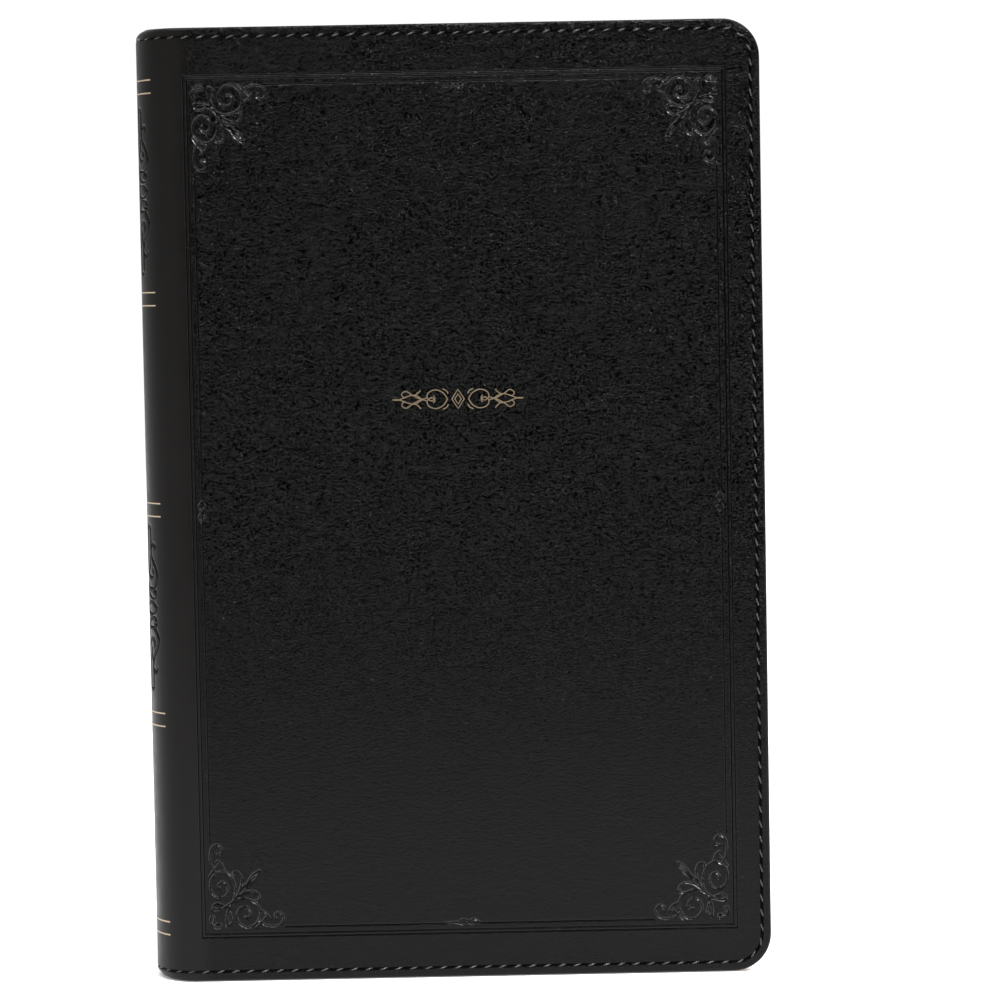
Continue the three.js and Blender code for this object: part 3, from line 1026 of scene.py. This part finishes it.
foils = []
for stroke in plaque["strokes"]:
    line = smoothLine([(a, b, 0) for a, b in stroke], 5)
    for flipA, flipB in fourFlips:
        foils.append(foilLine([
            coverPoint(plaque["x"] + flipA * p.x, plaque["z"] + flipB * p.y, -1) for p in line
        ]))
for half in plaque["lozenges"]:
    corners = [(-half * 0.8, 0), (0, half * 1.25), (half * 0.8, 0), (0, -half * 1.25), (-half * 0.8, 0)]
    foils.append(foilLine([coverPoint(plaque["x"] + a, plaque["z"] + b, -1) for a, b in corners], True))
goldPlaque = joinAll(foils, "coverGoldOrnament")
startEdit(goldPlaque)
selectWhole()
bpy.ops.transform.resize(value=(1, plaque["flatten"], 1), center_override=(0, -halfThickness, 0))
finishEdit()
goldPlaque.data.materials.clear()
goldPlaque.data.materials.append(dullFoil)
smoothShade(goldPlaque, 60)
keepRestPlace(goldPlaque)
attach(goldPlaque, "front_cover")


print("stage: stitching")
stitch = {
    "inset": 2.35, "pitch": 3.7, "length": 2.5, "radius": 0.25, "lean": 20,
    "sink": 0.14, "spineSink": 0.3, "acrossSpine": 10,
}
deselectAll()
bpy.ops.mesh.primitive_cylinder_add(vertices=8, radius=stitch["radius"] * mm, depth=stitch["length"] * mm,
                                    rotation=(0, math.radians(90), 0))
stitchModel = bpy.context.object
applyPlace()
startEdit(stitchModel)
for share in (-0.36, -0.12, 0.12, 0.36):
    selectWhole()
    cutAt(0, share * stitch["length"] * mm)
for share, size, drop in ((-0.5, 0.4, 0.3), (-0.36, 0.85, 0.1), (0.36, 0.85, 0.1), (0.5, 0.4, 0.3)):
    pick(stitchModel, "VERT", lambda v: near(v.co.x, share * stitch["length"] * mm))
    bpy.ops.transform.resize(value=(1, size, size), center_override=(0, 0, 0))
    bpy.ops.transform.translate(value=(0, 0, -drop * mm))
finishEdit()


def placeStitches(places, name, lean):
    placed = []
    for spot, along, out in places:
        copy = copyOf(stitchModel)
        across = out.cross(along)
        turn = Matrix((along, across, out)).transposed()
        turn = turn @ Matrix.Rotation(math.radians(lean), 3, "Z")
        copy.matrix_world = Matrix.Translation(spot) @ turn.to_4x4()
        placed.append(copy)
    row = joinAll(placed, name)
    row.data.materials.clear()
    row.data.materials.append(blackThread)
    smoothShade(row, 60)
    keepRestPlace(row)
    return row


# Places along a cover's free edges, from the hinge line at the head round to the tail.
def coverStitchPlaces(y, out):
    inset = stitch["inset"] * mm
    corner = case["cornerRound"]
    radius = corner - inset
    flat = foreEdgeX - corner - hingeX
    turn = radius * math.pi / 2
    tall = bookHeight - 2 * corner
    total = 2 * flat + 2 * turn + tall
    count = round(total / (stitch["pitch"] * mm))
    places = []
    for i in range(count):
        run = (i + 0.5) * total / count
        if run < flat:
            spot, along = (hingeX + run, bookHeight - inset), (1, 0)
        elif run < flat + turn:
            angle = math.pi / 2 - (run - flat) / radius
            spot = (hingeX + flat + radius * math.cos(angle), bookHeight - corner + radius * math.sin(angle))
            along = (math.sin(angle), -math.cos(angle))
        elif run < flat + turn + tall:
            spot, along = (foreEdgeX - inset, bookHeight - corner - (run - flat - turn)), (0, -1)
        elif run < flat + 2 * turn + tall:
            angle = -(run - flat - turn - tall) / radius
            spot = (hingeX + flat + radius * math.cos(angle), corner + radius * math.sin(angle))
            along = (math.sin(angle), -math.cos(angle))
        else:
            spot, along = (hingeX + total - run, inset), (-1, 0)
        places.append((Vector((spot[0], y, spot[1])), Vector((along[0], 0, along[1])), Vector((0, out, 0))))
    return places


for word, side in (("front", -1), ("back", 1)):
    outside = coverStitchPlaces(side * (halfThickness - stitch["sink"] * mm), side)
    inside = coverStitchPlaces(side * (halfThickness - coverThickness), -side)
    row = placeStitches(outside + inside, word + "CoverStitches", stitch["lean"])
    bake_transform(row)
    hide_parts(word + "_stitching")

for word, z in (("head", bookHeight / mm - stitch["inset"]), ("tail", stitch["inset"])):
    reachX, reachY = sizeRow(stitch["inset"] * mm, stitch["spineSink"] * mm)
    places = []
    for i in range(stitch["acrossSpine"]):
        angle = math.radians(180 * (i + 0.5) / stitch["acrossSpine"] - 90)
        spot = Vector((hingeX - reachX * math.cos(angle), -reachY * math.sin(angle), z * mm))
        along = Vector((reachX * math.sin(angle), -reachY * math.cos(angle), 0)).normalized()
        out = along.cross(Vector((0, 0, 1)))
        if out.x > 0:
            out = -out
        places.append((spot, along, out))
    row = placeStitches(places, "spine" + word.capitalize() + "Stitches", stitch["lean"])
    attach(row, "spine_block")
    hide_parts("spine_" + word + "_stitching")
deletePiece(stitchModel)


print("stage: linings and leaves")


def bendRows(piece, length, count):
    startEdit(piece)
    for step in range(1, count + 1):
        selectWhole()
        cutAt(0, hingeX + step * length / count)
    finishEdit()


liningValues = {"cornerRound": 1.3 * mm, "edge": 0.25 * mm, "raised": 0.2 * mm}
for word, side in (("front", -1), ("back", 1)):
    low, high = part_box(word + "_lining")
    lining = addBlock(word + "CoverLining", (hingeX, low.y, low.z), high)
    startEdit(lining)
    pick(lining, "EDGE", lambda e: runsAlong(e, 1) and near(middleOf(e).x, high.x))
    bpy.ops.mesh.bevel(offset=liningValues["cornerRound"], segments=5, affect="EDGES")
    pick(lining, "FACE", lambda f: f.normal.y * side < -0.999)
    bpy.ops.mesh.inset(thickness=liningValues["edge"], depth=liningValues["raised"])
    finishEdit()
    bendRows(lining, bendLength, 10)
    lining.data.materials.append(blackLining)
    smoothShade(lining, 40)
    keepRestPlace(lining)
    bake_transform(lining)
    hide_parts(word + "_lining")

leafValues = {
    "square": 3 * mm,  # from the pages to the cover's edge
    "cornerRound": 7 * mm, "hollow": 5 * mm, "bends": 13, "rounds": 28,
    "lap": 0.6 * mm, "slack": 0.05 * mm,  # at the back
}
pageEdgeX = foreEdgeX - leafValues["square"]


# The whole block of leaves: folded and rounded at the back, hollow at the fore-edge.
blockStart = hingeX - leafValues["lap"]
leafBlock = addBlock("leafBlock", (blockStart, -textHalf, leafLow.z), (pageEdgeX, textHalf, leafHigh.z))
startEdit(leafBlock)
pick(leafBlock, "EDGE", lambda e: runsAlong(e, 1))
bpy.ops.mesh.subdivide(number_cuts=leafValues["rounds"] - 1)
pick(leafBlock, "EDGE", lambda e: runsAlong(e, 1) and near(middleOf(e).x, pageEdgeX)
     and (near(middleOf(e).z, leafLow.z) or near(middleOf(e).z, leafHigh.z)))
bpy.ops.mesh.bevel(offset=leafValues["cornerRound"], segments=8, affect="EDGES")
for step in range(leafValues["rounds"] + 1):
    y = textHalf * (2 * step / leafValues["rounds"] - 1)
    fall = max(1 - (y / textHalf) ** 2, 0)
    edgeStart = pageEdgeX - leafValues["cornerRound"] - tiny
    pick(leafBlock, "VERT", lambda v: near(v.co.y, y) and v.co.x > edgeStart)
    bpy.ops.transform.translate(value=(-leafValues["hollow"] * fall, 0, 0))
    pick(leafBlock, "VERT", lambda v: near(v.co.y, y) and near(v.co.x, blockStart))
    rounding = (backReach - 2 * leafValues["slack"]) * math.sqrt(fall)
    bpy.ops.transform.translate(value=(leafValues["lap"] - leafValues["slack"] - rounding, 0, 0))
finishEdit()


def cutLeaves(name, node, paperFinish):
    low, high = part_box(node)
    section = copyOf(leafBlock)
    section.name = name
    startEdit(section)
    if low.y > -textHalf + 0.02 * mm:
        selectWhole()
        cutAt(1, low.y, clear_inner=True, use_fill=True)
    if high.y < textHalf - 0.02 * mm:
        selectWhole()
        cutAt(1, high.y, clear_outer=True, use_fill=True)
    finishEdit()
    section.data.materials.clear()
    section.data.materials.append(giltEdge)
    section.data.materials.append(paperFinish)
    bendRows(section, leafBendLength, leafValues["bends"])
    startEdit(section)
    pick(section, "FACE", lambda f: abs(f.normal.y) > 0.99 and any(
        near(centreOf(f).y, y, 0.03 * mm) for y in (low.y, high.y)))
    section.active_material_index = 1
    bpy.ops.object.material_slot_assign()
    pick(section, "FACE", lambda f: centreOf(f).x < hingeX and abs(f.normal.z) < 0.5)
    bpy.ops.object.material_slot_assign()
    finishEdit()
    smoothShade(section, 30)
    keepRestPlace(section)
    return section


for word, side in (("front", -1), ("back", 1)):
    flyleaf = cutLeaves(word + "Endpaper", word + "_flyleaf", endPaper)
    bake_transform(flyleaf)
    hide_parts(word + "_flyleaf")
    for number in range(1, 8):
        section = cutLeaves(f"{word}Leaves{number}", f"{word}_section_{number}", biblePaper)
        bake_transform(section)
        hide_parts(f"{word}_section_{number}")
for number in range(1, 5):
    section = cutLeaves(f"middleLeaves{number}", f"middle_section_{number}", biblePaper)
    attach(section, "spine_block")
    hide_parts(f"middle_section_{number}")
    if number == 1:
        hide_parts("sewn_back")
deletePiece(leafBlock)


print("stage: headbands and hidden parts")
windings = {"radius": 1.05, "sides": 10, "turns": 78, "bend": 10 * mm}
for word in ("headband", "tailband"):
    low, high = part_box(word)
    z = (low.z + high.z) / 2
    deselectAll()
    bpy.ops.mesh.primitive_circle_add(
        vertices=windings["sides"], radius=windings["radius"] * mm,
        location=(hingeX, windings["bend"], z), rotation=(0, math.radians(90), 0))
    band = bpy.context.object
    band.name = word + "Winding"
    applyPlace()
    startEdit(band)
    selectWhole()
    # known fault: this turns towards the fore-edge, and the band should follow the rounded back
    bpy.ops.mesh.spin(
        steps=windings["turns"], angle=math.radians(180), center=(hingeX, 0, z), axis=(0, 0, 1))
    selectWhole()
    bpy.ops.mesh.remove_doubles(threshold=0.005 * mm)
    pick(band, "EDGE", lambda e: e.is_boundary)
    bpy.ops.mesh.edge_face_add()
    selectWhole()
    bpy.ops.mesh.normals_make_consistent(inside=False)
    finishEdit()
    band.data.materials.append(woundBand)
    smoothShade(band, 60)
    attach(band, "spine_block")
    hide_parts(word)

hiddenFinishes = {"spine_stiffener": brownCard, "hollow_tube": brownCard, "mull": mullCloth,
                  "front_board": greyBoard, "back_board": greyBoard}
for node, finish in hiddenFinishes.items():
    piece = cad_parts[node]
    for place in piece.material_slots:
        place.material = finish


print("stage: floor, light and camera")
studio = {
    "floorFront": -0.52, "floorBack": 2.6, "floorSide": 2.2,
    "bright": (0.70, 0.69, 0.68), "dark": (0.03, 0.03, 0.03),
    "sun": 2.7, "sunSize": 50, "sunTilt": (12, -5),
    "floor": (0.86, 0.86, 0.87), "floorGlow": 0.2,
    "white": (1.05, 1.05, 1.05),  # behind the book
    "side": (0.18, 0.45), "back": (-0.5, 0.1), "top": (0.5, 0.85),  # where the room turns bright
}
deselectAll()
floor = addBlock("floor", (-studio["floorSide"], studio["floorFront"], -4 * mm),
                 (studio["floorSide"], studio["floorBack"], -0.2 * mm))
startEdit(floor)
pick(floor, "EDGE", lambda e: True)
bpy.ops.mesh.bevel(offset=1.5 * mm, segments=2, affect="EDGES")
finishEdit()
floorFinish = bpy.data.materials.new("paleFloor")
floorFinish.use_nodes = True
shader = floorFinish.node_tree.nodes["Principled BSDF"]
shader.inputs["Base Color"].default_value = (*studio["floor"], 1)
shader.inputs["Roughness"].default_value = 0.9
shader.inputs["Emission Color"].default_value = (1, 1, 1, 1)
shader.inputs["Emission Strength"].default_value = studio["floorGlow"]
floor.data.materials.append(floorFinish)

tiltX, tiltY = (math.radians(angle) for angle in studio["sunTilt"])
bpy.ops.object.light_add(type="SUN", location=(-0.5, 0.6, 1.5), rotation=(tiltX, tiltY, 0))
sun = bpy.context.object
sun.data.energy = studio["sun"]
sun.data.angle = math.radians(studio["sunSize"])

# A lamp high on the right, and a bar above the head edge.
lamps = [
    {"place": (0.75, -0.9, 0.95), "aim": (0, 0, 0.12), "size": (0.12, 0.12), "energy": 24},
    {"place": (0.22, -0.12, 1.1), "aim": (0.05, 0, 0.2), "size": (0.3, 0.12), "energy": 14},
]
for lamp in lamps:
    bpy.ops.object.light_add(type="AREA", location=lamp["place"])
    light = bpy.context.object
    light.rotation_euler = (Vector(lamp["aim"]) - light.location).to_track_quat("-Z", "Y").to_euler()
    light.data.shape = "RECTANGLE"
    light.data.size, light.data.size_y = lamp["size"]
    light.data.energy = lamp["energy"]

world = bpy.data.worlds.new("softRoom")
bpy.context.scene.world = world
world.use_nodes = True
tree = world.node_tree
direction = tree.nodes.new("ShaderNodeTexCoord")
parts = splitPlace(tree, direction.outputs["Generated"])
aside = addRange(tree, addMath(tree, "ABSOLUTE", parts["X"]), *studio["side"], 0, 1)
behind = addRange(tree, parts["Y"], *studio["back"], 0, 1)
above = addRange(tree, parts["Z"], *studio["top"], 0, 1)
share = addMath(tree, "MAXIMUM", addMath(tree, "MAXIMUM", aside, behind), above)
room = addMix(tree, share, studio["dark"], studio["bright"])
seen = tree.nodes.new("ShaderNodeLightPath")
backdrop = addMix(tree, seen.outputs["Is Camera Ray"], room, studio["white"])
tree.links.new(backdrop, tree.nodes["Background"].inputs["Color"])

cameraView = {
    "place": (0.00443, -0.90207, 0.17064), "lens": 129.72,
    "forward": (0.00777724, 0.9982608, -0.05843701), "right": (0.99979609, -0.00885169, -0.0181502),
}
forward, rightward = Vector(cameraView["forward"]), Vector(cameraView["right"])
upward = rightward.cross(forward)
bpy.ops.object.camera_add(location=cameraView["place"])
camera = bpy.context.object
turn = Matrix((rightward, upward, -forward)).transposed().to_4x4()
camera.matrix_world = Matrix.Translation(cameraView["place"]) @ turn
camera.data.lens = cameraView["lens"]
camera.data.sensor_width = 36
camera.data.clip_start = 0.01
bpy.context.scene.camera = camera
bpy.context.scene.view_settings.view_transform = "Standard"

print("stage: done")
